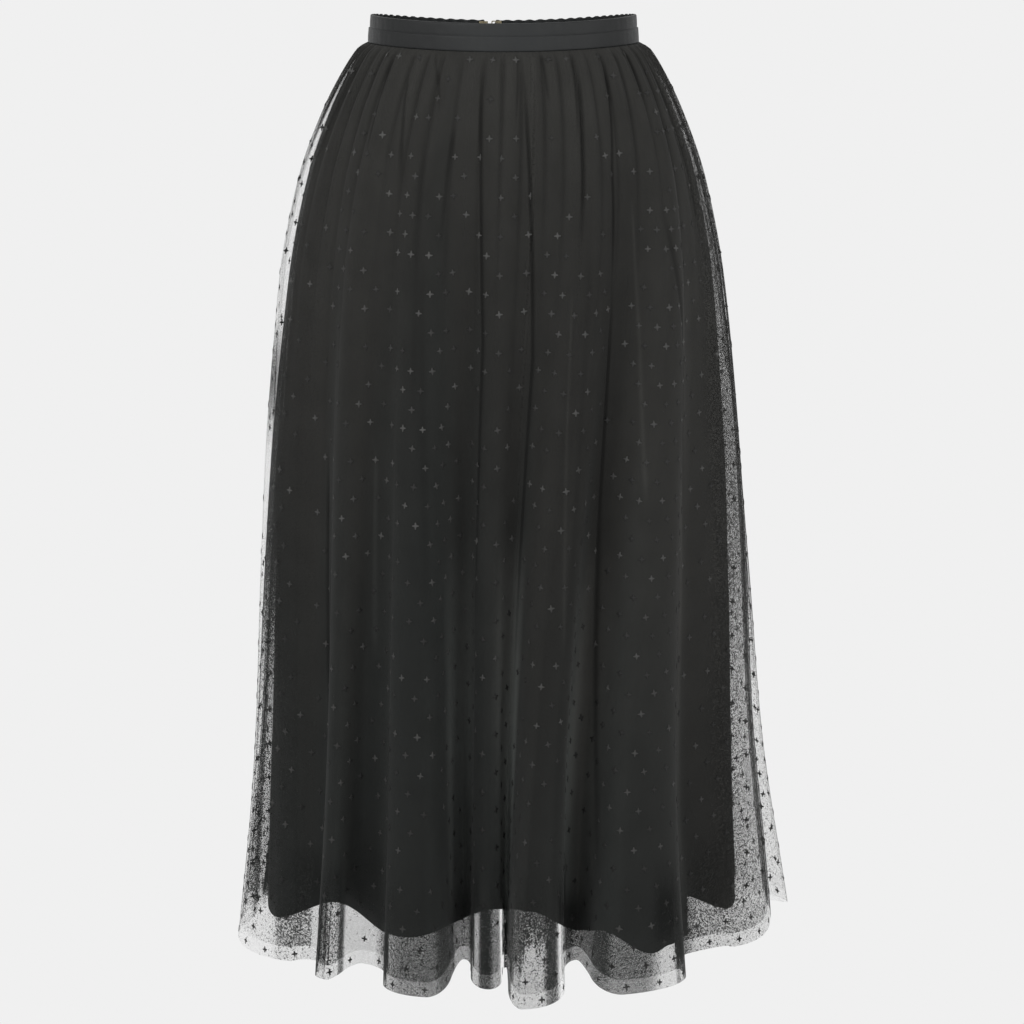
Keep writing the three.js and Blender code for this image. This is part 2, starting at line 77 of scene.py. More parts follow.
# valley, left flank, crest, right flank, valley's stand, crest's stand, valley's drop, crest's drop, gathers
FRONT_FOLDS = (
    (-101, -88, -66, -52, 0, 22, 0, 15, 5),
    (-47.5, -41, -35.8, -34.6, 2, 52, 13, 9, 3),
    (-32.5, -24, -14, -10.5, 10, 78, 5, 7, 3),
    (-9.3, -7, -3, -0.1, -12, 46, 0, 8, 3),
    (0.5, 0.8, 3.2, 12, 4, 92, 2, 12, 5),
    (16.5, 17.5, 22, 38, 0, 78, 0, 9, 3),
    (47, 60, 76, 90, 4, 18, 6, 9, 3),
)
RIGHT_BACK_FOLDS = (
    (98, 106, 114, 121, 20, 62, 0, 13, 3),
    (127, 131, 137, 143, 0, 46, 4, 10, 3),
    (147, 152, 158, 163, 2, 50, 0, 12, 3),
    (168, 172, 177, 181, -2, 56, 3, 10, 3),
)
LEFT_BACK_FOLDS = (
    (186, 191, 197, 203, 0, 48, 0, 9, 3),
    (207, 211, 217, 222, 2, 58, 5, 12, 3),
    (227, 231, 238, 243, -2, 44, 0, 10, 3),
    (247, 250, 253, 256, 2, 27, 4, 9, 3),
)
# valley, crest, valley's stand, crest's stand, valley's drop, crest's drop
LINING_WAVES = (
    (-93, -70, 0, 9, 6, 28),
    (-46, -23, -12, 13, 6, 21),
    (-2, 3, -13, -13, 0, 0),
    (6, 19, -13, -2, 2, 18),
    (23, 37, -1, 13, 19, 41),
    (42, 47, 12, 14, 36, 30),
    (51.5, 68, -13, 8, 3, 19),
    (88, 112, -4, 12, 5, 16),
    (134, 156, -12, 13, 2, 18),
    (178, 200, -11, 12, 4, 17),
    (224, 246, -12, 8, 3, 16),
)


def bump(share):
    return (1 - np.cos(np.pi * share)) / 2


def smooth_slopes(x, y):
    """Slopes of a smooth curve through the points that never overshoots them."""
    h = np.diff(x)
    d = np.diff(y) / h
    m = np.zeros(len(x))
    m[0], m[-1] = d[0], d[-1]
    for i in range(1, len(x) - 1):
        if d[i - 1] * d[i] > 0:
            a, b = 2 * h[i] + h[i - 1], h[i] + 2 * h[i - 1]
            m[i] = (a + b) / (a / d[i - 1] + b / d[i])
    return m


def smooth(x, y, at):
    x, y = np.array(x, float), np.array(y, float)
    m = smooth_slopes(x, y)
    at = np.clip(at, x[0], x[-1])
    i = np.clip(np.searchsorted(x, at) - 1, 0, len(x) - 2)
    h = x[i + 1] - x[i]
    t = (at - x[i]) / h
    return (
        y[i] * (1 + 2 * t) * (1 - t) ** 2
        + m[i] * h * t * (1 - t) ** 2
        + y[i + 1] * t * t * (3 - 2 * t)
        - m[i + 1] * h * t * t * (1 - t)
    )


def level(name, below):
    return smooth(LEVELS["below"], LEVELS[name], np.asarray(below, float))


def on_ring(angle, width, front, back):
    """Points of an oval ring and the outward directions there, as (n, 2) arrays."""
    a = np.radians(angle)
    s, c = np.sin(a), np.cos(a)
    depth = np.where(c > 0, front, back)
    out = np.stack([s / width, -c / depth], -1)
    out /= np.linalg.norm(out, axis=-1, keepdims=True)
    return np.stack([width * s, -depth * c], -1), out


def band_top(angle):
    c = np.cos(np.radians(angle))
    return BAND_TOP - np.where(c > 0, FRONT_DIP, BACK_DIP) * c * c


def cloth_top(angle):
    return band_top(angle) - BAND_HEIGHT - SEAM_GAP


def hashed(n, salt):
    """A fixed number from 0 to 1 for each whole number, the same on every run."""
    v = np.sin(np.asarray(n, float) * 12.9898 + salt * 78.233) * 43758.5453
    return v - np.floor(v)


# Net columns
FINE = 24  # columns for each gather


def net_columns(folds, start, end, following, first_gather):
    gathers = sum(f[8] for f in folds)
    rows = []
    k = 0
    for i, fold in enumerate(folds):
        after = folds[i + 1] if i + 1 < len(folds) else following
        count = fold[8] * FINE
        for j in range(count):
            across = j / count
            left = across < 0.5
            near = fold if left else after
            rise = 2 * across if left else 2 * (1 - across)
            flank = fold[1] if left else fold[3]
            if rise < 0.5:
                hem = near[0] + (flank - near[0]) * math.sin(math.pi * rise)
            else:
                hem = fold[2] + (flank - fold[2]) * math.sin(math.pi * rise)
            b = float(bump(rise))
            rows.append((
                start + (end - start) * k / (gathers * FINE),
                fold[0] + (after[0] - fold[0]) * across,
                hem,
                near[4] + (fold[5] - near[4]) * b,
                near[6] + (fold[7] - near[6]) * b,
                first_gather + k / FINE,
            ))
            k += 1
    return rows


first_fold = (FRONT_FOLDS[0][0] + 360,) + FRONT_FOLDS[0][1:]
panels = {
    "front": net_columns(FRONT_FOLDS, -90, 90, RIGHT_BACK_FOLDS[0], 0),
    "back_right": net_columns(RIGHT_BACK_FOLDS, 90, CLOSURE, LEFT_BACK_FOLDS[0], 25),
    "back_left": net_columns(LEFT_BACK_FOLDS, CLOSURE, 270, first_fold, 37),
}
ring = np.array(panels["front"] + panels["back_right"] + panels["back_left"])


def level_rows(length, rows, power=1.0):
    """Levels down a piece, closer together near the band where it is gathered."""
    t = np.linspace(0, 1, rows)
    return length * (0.35 * t ** 2 + 0.65 * t) ** power


# Where the gathers of the front begin, in gathers from the left seam. The others are spaced by hash.
FRONT_GATHERS = (
    0, 1.05, 2.1, 3, 4.1, 5, 5.9, 7.4, 8.3, 9.2, 10.3, 11.5, 12.5, 13.45, 14.6, 15.5, 16.4, 17.3, 18.3, 19.4,
    20.4, 21.4, 22.3, 23.2, 24.1,
)
# Creases of the front: gather at each end and halfway, levels of both ends, depth in mm, half width in gathers
FRONT_CREASES = (
    (5.9, 6.1, 6.3, 8, 90, 1.2, 0.07),
    (5.2, 5.2, 5.9, 330, 760, 1.6, 0.07),
    (7.4, 7.9, 8.3, 20, 110, 1.2, 0.08),
    (8.6, 9.2, 9.6, 0, 50, 1, 0.07),
    (9.1, 9.3, 9.4, 60, 330, 0.6, 0.12),
    (9.4, 9.6, 9.8, 150, 520, 0.6, 0.14),
    (10.3, 10.2, 10.1, 60, 160, 1, 0.07),
    (11.4, 12, 11.8, 5, 520, 1.8, 0.07),
    (13.3, 13.3, 13.2, 0, 60, 1, 0.06),
    (13.5, 14.5, 14.4, 5, 560, 1.8, 0.07),
    (14.6, 14.7, 14.8, 0, 45, 1, 0.07),
    (16.4, 16.3, 16.2, 0, 70, 1, 0.07),
    (16.5, 16.4, 16.4, 14, 160, 1.4, 0.08),
    (16.8, 17, 17.3, 150, 520, 0.6, 0.14),
    (18.4, 17.9, 18.2, 4, 215, 1.6, 0.08),
    (18.2, 19.1, 20, 190, 740, 1.8, 0.08),
    (20.4, 20.4, 20.3, 0, 50, 1, 0.07),
    (20.4, 21.3, 21.7, 130, 420, 1.2, 0.08),
    (22.4, 22.5, 22.6, 10, 190, 1.2, 0.08),
    (23.6, 23.5, 23.4, 5, 130, 1, 0.08),
)


def spaced_gathers(first, last):
    k = np.arange(first, last)
    return k + (hashed(k, 4) - 0.5) * 0.5


def hidden_creases(first, last):
    """Creases of the same kind for the panels that the photograph doesn't show."""
    rows = []
    for k in range(first, last):
        top = k + float(hashed(k, 21)) * 0.8
        start = 4 + 150 * float(hashed(k, 22)) ** 2
        length = 60 + 480 * float(hashed(k, 23)) ** 2
        drift = (float(hashed(k, 24)) - 0.5) * 0.9
        depth = 0.9 + 0.9 * float(hashed(k, 25))
        rows.append((top, top + drift * 0.6, top + drift, start, start + length, depth, 0.07))
    return tuple(rows)


GATHER_STARTS = np.concatenate([FRONT_GATHERS, spaced_gathers(25, 49), [49.0]])
CREASES = FRONT_CREASES + hidden_creases(25, 48)


def from_gather(phase):
    """Position in its own gather, from 0 to 1, and the number of that gather."""
    index = np.clip(np.searchsorted(GATHER_STARTS, phase, side="right") - 1, 0, 48)
    start, end = GATHER_STARTS[index], GATHER_STARTS[index + 1]
    return np.clip((phase - start) / (end - start), 0, 1), index


def gather_profile(columns, below):
    """How far the gathers stand out at a level, as round ridges with narrow valleys that die away downwards."""
    part, index = from_gather(columns[:, 5])
    size = 0.7 + 0.5 * hashed(index, 1)
    reach = 0.75 + 0.5 * hashed(index, 2)
    soft = level("gather", np.clip(below / reach, 0, 780))
    shape = 1 - np.abs(2 * part - 1) ** 2.4
    fine = np.sin(2 * np.pi * (3 * part + hashed(index, 3))) * 0.5 * math.exp(-below / 30)
    return soft * size * shape * 0.85 + fine * shape


def gather_shadow(phase, below):
    """How dark the narrow valleys between gathers are, from 0 to 1."""
    part, index = from_gather(phase)
    near = np.minimum(part, 1 - part)
    valley = np.where(part < 0.5, index, index + 1) % 49
    reach = 60 + 120 * hashed(valley, 6)
    strength = np.clip((below - 3) / 18, 0, 1) * np.clip(1.5 - below / reach, 0, 1) * (0.4 + 0.6 * hashed(valley, 9))
    return strength * np.exp(-(near / 0.085) ** 2)


def crease_depth(phase, below):
    """Depth of the soft creases in mm, and the painted shade laid along them, from 0 to 1."""
    depth = np.zeros(len(phase))
    dark = np.zeros(len(phase))
    for first, middle, last, start, end, deep, half in CREASES:
        if not start <= below <= end:
            continue
        t = (below - start) / (end - start)
        centre = np.interp(t, (0, 0.45, 1), (first, middle, last))
        fade = min(1, t / 0.12, (1 - t) / 0.3)
        line = np.exp(-((phase - centre) / half) ** 2) * fade
        depth += deep * line
        dark = np.maximum(dark, line * min(1, deep / 1.6))
    return depth, dark


def net_surface(columns, below, gathered):
    share = below / NET_LENGTH
    drift = 1 - (1 - share) ** 2
    fold = float(level("fold", below))
    waist, even, hem, out_by, lower, phase = columns.T
    angle = waist + (even - waist) * drift + (hem - even) * fold
    sizes = [float(level(name, below)) for name in ("width", "front", "back")]
    point, out = on_ring(angle, *sizes)
    crease, _ = crease_depth(phase, below)
    tuck = max(0.0, 1 - below / TUCK_REACH) ** 2
    if gathered:
        away = np.abs((angle - SWELL_ANGLE + 540) % 360 - 180)
        swell = float(level("swell", below)) * bump(np.clip(1 - away / SWELL_REACH, 0, 1))
        ridges = gather_profile(columns, below) * (1 - 0.85 * tuck)
        stand = out_by * fold + np.maximum(ridges - crease, -1.2) + swell
    else:
        stand = out_by * fold + 0.3 * math.exp(-below / 30) - crease * min(1, max(0, below - 70) / 90)
    # soft unevenness that grows down the cloth
    a = np.radians(waist)
    sway = 0.9 * np.sin(7 * a + below / 95) + 0.7 * np.sin(13 * a - below / 61) + 0.5 * np.sin(23 * a + below / 41)
    point = point + out * (stand + sway * 0.9 * share - TUCK * tuck)[:, None]
    z = cloth_top(waist) - below - lower * share
    return np.column_stack([point, z])


def normals_of(points):
    before = np.roll(points, 1, 0)
    after = np.roll(points, -1, 0)
    d = after - before
    n = np.column_stack([d[:, 1], -d[:, 0], np.zeros(len(d))])
    return n / np.linalg.norm(n, axis=1, keepdims=True)


hem_points = net_surface(ring, NET_LENGTH, False)
hem_steps = np.linalg.norm(np.diff(np.vstack([hem_points, hem_points[:1]])[:, :2], axis=0), axis=1)
flat_along = np.concatenate([[0], np.cumsum(hem_steps)])
FLARE = 0.62  # the panels are cut this much narrower at the waist than at the hem


def cut_width(below):
    """Width of the flared cut at a level, as a share of its width at the hem."""
    return FLARE + (1 - FLARE) * np.asarray(below) / NET_LENGTH


# How closely the net covers, by gather: outer and under net above, outer and under net below, and how
# much of that is in clumps where the threads of the layers meet.
VEIL_FRONT = (
    (0, 0.06, 0.85, 0.1, 0.14, 0.15),
    (0.5, 0.06, 0.85, 0.1, 0.14, 0.15),
    (0.62, 0.06, 0.85, 0.45, 0.7, 0.4),
    (0.84, 0.06, 0.85, 0.45, 0.7, 0.4),
    (0.95, 0.06, 0.85, 0.12, 0.25, 0.5),
    (1.9, 0.08, 0.85, 0.12, 0.12, 0.35),
    (2.9, 0.3, 0.9, 0.15, 0.2, 0.3),
    (3.1, 0.6, 0.9, 0.36, 0.66, 0.7),
    (4.6, 0.8, 0.9, 0.36, 0.66, 0.7),
    (4.75, 0.85, 0.9, 0.3, 0.15, 0.1),
    (5.8, 0.85, 0.9, 0.3, 0.15, 0.1),
    (5.88, 0.85, 0.9, 0.85, 0.8, 0.3),
    (6.12, 0.85, 0.9, 0.85, 0.8, 0.3),
    (6.22, 0.85, 0.9, 0.36, 0.52, 0.5),
    (7, 0.85, 0.9, 0.36, 0.52, 0.5),
    (7.08, 0.85, 0.9, 0.85, 0.75, 0.3),
    (7.2, 0.85, 0.9, 0.85, 0.75, 0.3),
    (7.3, 0.85, 0.9, 0.28, 0.18, 0.05),
    (8.2, 0.85, 0.9, 0.3, 0.2, 0.05),
    (8.35, 0.85, 0.9, 0.62, 0.55, 0.4),
    (9.1, 0.85, 0.9, 0.62, 0.55, 0.4),
    (9.25, 0.85, 0.9, 0.77, 0.55, 0.05),
    (9.75, 0.85, 0.9, 0.77, 0.6, 0.05),
    (9.9, 0.85, 0.9, 0.9, 0.8, 0.1),
    (10.4, 0.85, 0.9, 0.9, 0.8, 0.1),
    (10.55, 0.85, 0.9, 0.7, 0.6, 0.1),
    (11.2, 0.85, 0.9, 0.7, 0.6, 0.1),
    (11.4, 0.85, 0.9, 0.88, 0.8, 0.2),
    (11.95, 0.85, 0.9, 0.88, 0.8, 0.2),
    (12.08, 0.85, 0.9, 0.5, 0.35, 0.2),
    (12.22, 0.85, 0.9, 0.5, 0.35, 0.2),
    (12.3, 0.85, 0.9, 0.93, 0.88, 0.3),
    (12.56, 0.85, 0.9, 0.93, 0.88, 0.3),
    (12.75, 0.85, 0.9, 0.65, 0.5, 0.2),
    (13, 0.85, 0.9, 0.65, 0.5, 0.2),
    (13.1, 0.85, 0.9, 0.08, 0.05, 0),
    (13.7, 0.85, 0.9, 0.08, 0.05, 0),
    (13.85, 0.85, 0.9, 0.9, 0.9, 0.3),
    (15.6, 0.85, 0.9, 0.9, 0.8, 0.3),
    (15.85, 0.85, 0.9, 0.64, 0.86, 0.65),
    (16.85, 0.85, 0.9, 0.64, 0.86, 0.65),
    (16.95, 0.85, 0.9, 0.85, 0.85, 0.3),
    (17.15, 0.85, 0.9, 0.85, 0.85, 0.3),
    (17.3, 0.85, 0.9, 0.07, 0.05, 0),
    (18.35, 0.85, 0.9, 0.07, 0.05, 0),
    (18.5, 0.85, 0.9, 0.85, 0.8, 0.1),
    (18.75, 0.85, 0.9, 0.85, 0.8, 0.1),
    (18.95, 0.85, 0.9, 0.75, 0.7, 0.1),
    (19.65, 0.85, 0.9, 0.75, 0.7, 0.1),
    (19.8, 0.85, 0.9, 0.85, 0.85, 0.15),
    (20.1, 0.85, 0.9, 0.85, 0.85, 0.15),
    (20.25, 0.85, 0.9, 0.76, 0.52, 0.03),
    (20.65, 0.85, 0.9, 0.76, 0.52, 0.03),
    (20.74, 0.85, 0.9, 0.3, 0.22, 0.1),
    (20.95, 0.85, 0.9, 0.3, 0.22, 0.1),
    (21.05, 0.85, 0.9, 0.85, 0.8, 0.3),
    (21.9, 0.85, 0.9, 0.85, 0.8, 0.3),
    (22.1, 0.85, 0.9, 0.48, 0.58, 0.55),
    (22.8, 0.6, 0.75, 0.45, 0.55, 0.55),
    (23.7, 0.35, 0.5, 0.3, 0.4, 0.5),
    (25, 0.3, 0.4, 0.3, 0.4, 0.5),
    (25.4, 0.25, 0.35, 0.12, 0.07, 0.3),
    (27, 0.25, 0.35, 0.12, 0.07, 0.3),
)
VEIL_LEFT = (
    (46.3, 0.1, 0.85, 0.15, 0.12, 0.3),
    (47.2, 0.08, 0.85, 0.15, 0.3, 0.5),
    (48.2, 0.06, 0.85, 0.15, 0.35, 0.6),
    (48.5, 0.06, 0.85, 0.1, 0.12, 0.4),
)


def hidden_veil(first, last):
    rows = []
    for k in range(first, last):
        h = [float(hashed(k, 30 + j)) for j in range(4)]
        rows.append((k + 0.3 + 0.4 * h[3], 0.75 + 0.1 * h[0], 0.85, 0.25 + 0.35 * h[0], 0.25 + 0.4 * h[1], 0.1 + 0.5 * h[2]))
    return tuple(rows)


VEIL = np.array(VEIL_FRONT + hidden_veil(28, 46) + VEIL_LEFT)
TIP = (15.7, 16.95, 762, 722)  # the gathers of the pale tip of the largest fold, and its level at each
TIP_BLEND = 12
TIP_VEIL = (0.42, 0.3, 0.25)
# Painted highlights: thin lighter lines along the folds, given as the creases
PAINTED_HIGHLIGHT_LINES = (
    (8, 8.05, 8.1, 330, 510, 0.45, 0.06),
    (16.1, 16.6, 17.1, 190, 500, 0.4, 0.06),
    (19, 19.7, 20.3, 120, 380, 0.4, 0.06),
    (21.3, 21.65, 21.85, 170, 735, 0.5, 0.07),
    (30.4, 30.8, 31.1, 150, 560, 0.4, 0.045),
    (35.2, 35, 34.7, 220, 600, 0.35, 0.045),
    (41.3, 41.6, 42, 180, 520, 0.4, 0.045),
)
# Lightness of the front by level, at the left, in the middle and at the right
SHADE_LEVELS = (0, 40, 110, 200, 330, 480, 630, 780)
SHADE_LEFT = (0.9, 0.88, 0.86, 0.82, 0.72, 0.64, 0.6, 0.56)
SHADE_MIDDLE = (0.92, 0.92, 0.74, 0.64, 0.56, 0.52, 0.48, 0.46)
SHADE_RIGHT = (0.94, 0.94, 0.92, 0.92, 0.9, 0.8, 0.64, 0.62)


# Painted light: the lower cloth in the narrow valleys is made a little lighter than its place would make it, lifting
# the shade that falls there
VALLEY_LIGHT = np.array((
    (9.4, 1), (10, 0.92), (10.2, 1), (10.4, 2.5), (10.7, 3.2), (11.25, 3), (11.6, 1.7), (11.9, 0.85), (12.3, 0.85),
    (12.6, 1.2), (12.8, 2), (13, 4), (14, 6.5), (14.6, 4.5), (14.95, 1.1), (15.6, 0.9), (16.9, 0.95), (17.1, 0.8),
    (17.4, 1.2), (17.75, 2.5), (18.2, 3.2), (18.6, 4.2), (18.85, 4), (19.2, 3), (19.5, 2), (19.75, 1.1), (19.9, 1),
))


def shade_at(phase, below):
    """Lightness of the net's threads and how warm they are: given by level at the left, middle and right of the front,
    darker and cooler lower down, with bands that differ at random.
    """
    ends = [float(np.interp(below, SHADE_LEVELS, row)) for row in (SHADE_LEFT, SHADE_MIDDLE, SHADE_RIGHT)]
    left, middle, right = ends
    light = np.interp(phase, (0, 4, 10, 16, 19.2, 20.5, 24, 36, 48), (left, left, middle, middle, middle, right, right, middle, left))
    warm = np.interp(phase, (0, 12, 18, 21, 30, 49), (-0.3, -0.6, 0.2, 1, 0.3, -0.3)) + 1.2 - below / 400
    band = np.interp(phase * 1.1, np.arange(55), hashed(np.arange(55), 11)) - 0.5
    fine_band = np.interp(phase * 3.3, np.arange(165), hashed(np.arange(165), 12)) - 0.5
    light = light * (1 + 0.2 * band + 0.1 * fine_band)
    return light, np.clip(warm + 1.5 * band, -1.2, 1.4)


# Painted highlight: how much the threads' colour is raised along each light line
def painted_highlight_lines(phase, below):
    gain = np.zeros(len(phase))
    for first, middle, last, start, end, strength, half in PAINTED_HIGHLIGHT_LINES:
        if start <= below <= end:
            t = (below - start) / (end - start)
            centre = np.interp(t, (0, 0.5, 1), (first, middle, last))
            gain += strength * np.exp(-((phase - centre) / half) ** 2) * min(1, t / 0.1, (1 - t) / 0.1)
    return gain


def fold_edges(points):
    """Where a fold turns back to the side, from 0 to 1: there its cloth lies close and the net is made denser, and its
    colour gets painted shade.
    """
    x = points[:, 0]
    turns = np.flatnonzero((x - np.roll(x, 1)) * (np.roll(x, -1) - x) <= 0)
    edge = np.zeros(len(x))
    for i in turns:
        away = (np.arange(len(x)) - i + len(x) // 2) % len(x) - len(x) // 2
        near = np.clip(1.5 - np.abs(away) / 24, 0, 1)
        edge = np.maximum(edge, np.exp(-((x - x[i]) / 0.7) ** 2) * near)
    return edge


def net_values(points, below, outer_layer):
    """Cover, clumps and colour of one row of a net."""
    phase = ring[:, 5]
    margin = float(bump(np.clip((below - 380) / 220, 0, 1)))
    inner = float(bump(np.clip((below - 665) / 50, 0, 1)))
    over_lining = np.clip((phase - 3) / 0.8, 0, 1) * np.clip((23.2 - phase) / 0.8, 0, 1)
    low = margin + (inner - margin) * over_lining
    high_column, low_column = (1, 3) if outer_layer else (2, 4)
    high, lower, grain = [np.interp(phase, VEIL[:, 0], VEIL[:, j], period=49) for j in (high_column, low_column, 5)]
    tip = np.clip((phase - TIP[0]) / 0.1, 0, 1) * np.clip((TIP[1] - phase) / 0.1, 0, 1)
    tip_level = np.interp(phase, TIP[:2], TIP[2:]) + 7 * np.sin(phase * 9) + 5 * np.sin(phase * 23)
    tip = tip * np.clip((below - tip_level) / TIP_BLEND + 0.5, 0, 1)
    lower = lower + (TIP_VEIL[0 if outer_layer else 1] - lower) * tip
    grain = grain + (TIP_VEIL[2] - grain) * tip
    cover = high + (lower - high) * low
    cover = cover + (0.94 - cover) * math.exp(-below / 24)
    along = np.roll(points, -1, 0) - np.roll(points, 1, 0)
    along = along[:, :2] / np.linalg.norm(along[:, :2], axis=1, keepdims=True)
    outward = points[:, :2] / np.array([2.2, 1])
    outward = outward / np.linalg.norm(outward, axis=1, keepdims=True)
    radial = np.sum(along * outward, axis=1) ** 2
    hidden = np.clip((phase - 27) / 2, 0, 1) * np.clip((47 - phase) / 2, 0, 1)
    cover = 1 - (1 - cover) ** (1 + 1.2 * hidden * radial ** 2)
    edge = fold_edges(points)
    cover = 1 - (1 - cover) * (1 - 0.75 * edge * np.clip(cover / 0.12 - 0.4, 0.25, 1))
    at_side = np.clip((phase - 46.5) / 0.5, 0, 1) + np.clip((2.5 - phase) / 0.5, 0, 1)
    at_right = np.clip((phase - 22.3) / 0.4, 0, 1) * np.clip((26 - phase) / 0.5, 0, 1)
    if outer_layer:
        grain = grain * 0.4 * low + 0.55 * at_right * (1 - low)
        cover = np.maximum(cover, 0.6 * at_side * math.exp(-((below - 290) / 45) ** 2))
    else:
        grain = grain + (0.8 - grain) * (at_side + at_right) * (1 - margin)
    _, dark = crease_depth(phase, below)
    shadow = gather_shadow(phase, below)
    light, warm = shade_at(phase, below)
    # painted shade in the creases and in the valleys between gathers, and painted highlights along the light lines
    light = light * (1 - 0.5 * dark) * (1 - 0.3 * shadow) * (1 + painted_highlight_lines(phase, below))
    # painted light lifting the shade on flanks that face sideways lower down, and painted shade at the fold edges
    light = light * (1 + 0.9 * radial * below / NET_LENGTH) * (1 - 0.35 * edge)
    # painted light lifting the shade in the narrow valleys of the lower cloth
    lift = min(1, max(0, (below - 400) / 190)) * min(1, max(0, (735 - below) / 30))
    light = light * (1 + (np.interp(phase, VALLEY_LIGHT[:, 0], VALLEY_LIGHT[:, 1]) - 1) * lift)
    cool = np.clip(0.5 - warm, 0, 1)
    colour = light[:, None] * np.column_stack([1.01 - 0.08 * cool, np.ones(len(warm)), 0.93 + 0.02 * cool])
    cover = np.clip(cover, 0.02, 0.97)
    threads = 1 - (1 - cover) ** (1 - grain)
    clumps = 1 - (1 - cover) ** grain
    return 0.5 * (1 - np.sqrt(1 - threads)), clumps, colour


def build_layer(length_rows, gathered, inset):
    """Points of a net, and the values that its material reads at each of them."""
    points, threads, clumps, colours = [], [], [], []
    for below in length_rows:
        p = net_surface(ring, below, gathered)
        p = p - normals_of(p) * inset
        points.append(p)
        thread, clump, colour = net_values(p, below, gathered)
        threads.append(thread)
        clumps.append(clump)
        colours.append(colour)
    return np.array(points), np.array(threads), np.array(clumps), np.array(colours)


def new_object(name, verts, faces, smooth_shade=True):
    mesh = bpy.data.meshes.new(name)
    verts = np.ascontiguousarray(np.asarray(verts, np.float32).reshape(-1, 3) * MM)
    faces = np.asarray(faces, np.int32)
    sides = faces.shape[1]
    mesh.vertices.add(len(verts))
    mesh.vertices.foreach_set("co", verts.ravel())
    mesh.loops.add(len(faces) * sides)
    mesh.loops.foreach_set("vertex_index", faces.ravel())
    mesh.polygons.add(len(faces))
    mesh.polygons.foreach_set("loop_start", np.arange(0, len(faces) * sides, sides, dtype=np.int32))
    mesh.update(calc_edges=True)
    mesh.validate()
    if smooth_shade:
        mesh.polygons.foreach_set("use_smooth", np.ones(len(faces), bool))
    obj = bpy.data.objects.new(name, mesh)
    bpy.context.collection.objects.link(obj)
    return obj


def set_uv(obj, coords):
    """One flat coordinate in metres for each vertex."""
    mesh = obj.data
    index = np.empty(len(mesh.loops), np.int32)
    mesh.loops.foreach_get("vertex_index", index)
    layer = mesh.uv_layers.new(name="flat")
    layer.data.foreach_set("uv", np.ascontiguousarray(np.asarray(coords, np.float32)[index]).ravel())


def set_values(obj, name, values):
    layer = obj.data.attributes.new(name, "FLOAT", "POINT")
    layer.data.foreach_set("value", np.asarray(values, np.float32).ravel())


def set_colours(obj, name, values):
    layer = obj.data.attributes.new(name, "FLOAT_COLOR", "POINT")
    rgb = np.asarray(values, np.float32).reshape(-1, 3)
    layer.data.foreach_set("color", np.column_stack([rgb, np.ones(len(rgb), np.float32)]).ravel())


def grid_faces(rows, columns, flip=False):
    r, c = np.meshgrid(np.arange(rows - 1), np.arange(columns - 1), indexing="ij")
    a = (r * columns + c).ravel()
    quad = np.stack([a, a + columns, a + columns + 1, a + 1], 1)
    return quad[:, ::-1] if flip else quad


def wall_faces(rows, columns):
    """A closed wall between an outer grid of points and an inner one that follows it."""
    n = rows * columns
    faces = [grid_faces(rows, columns), grid_faces(rows, columns, True) + n]
    c = np.arange(columns - 1)
    faces.append(np.stack([n + c, c, c + 1, n + c + 1], 1))
    b = (rows - 1) * columns + c
    faces.append(np.stack([b, n + b, n + b + 1, b + 1], 1))
    r = np.arange(rows - 1) * columns
    faces.append(np.stack([n + r, n + r + columns, r + columns, r], 1))
    e = r + columns - 1
    faces.append(np.stack([e, e + columns, n + e + columns, n + e], 1))
    return np.vstack(faces)


def make_wall(name, outer, inner, uv=None):
    rows, columns = outer.shape[:2]
    obj = new_object(name, np.vstack([outer.reshape(-1, 3), inner.reshape(-1, 3)]), wall_faces(rows, columns))
    if uv is not None:
        flat = uv.reshape(-1, 2)
        set_uv(obj, np.vstack([flat, flat]))
    return obj


# Materials
def material(name):
    mat = bpy.data.materials.new(name)
    mat.use_nodes = True
    tree = mat.node_tree
    for node in list(tree.nodes):
        tree.nodes.remove(node)
    return mat, tree


def add(tree, kind, **settings):
    node = tree.nodes.new(kind)
    for key, value in settings.items():
        if key in node.inputs and not hasattr(node, key):
            node.inputs[key].default_value = value
        else:
            setattr(node, key, value)
    return node


def link(tree, a, b):
    tree.links.new(a, b)


def value(tree, operation, a, b=None, clamp=False):
    node = tree.nodes.new("ShaderNodeMath")
    node.operation = operation
    node.use_clamp = clamp
    for i, source in enumerate((a, b)):
        if source is None:
            continue
        if isinstance(source, (int, float)):
            node.inputs[i].default_value = source
        else:
            tree.links.new(source, node.inputs[i])
    return node.outputs[0]


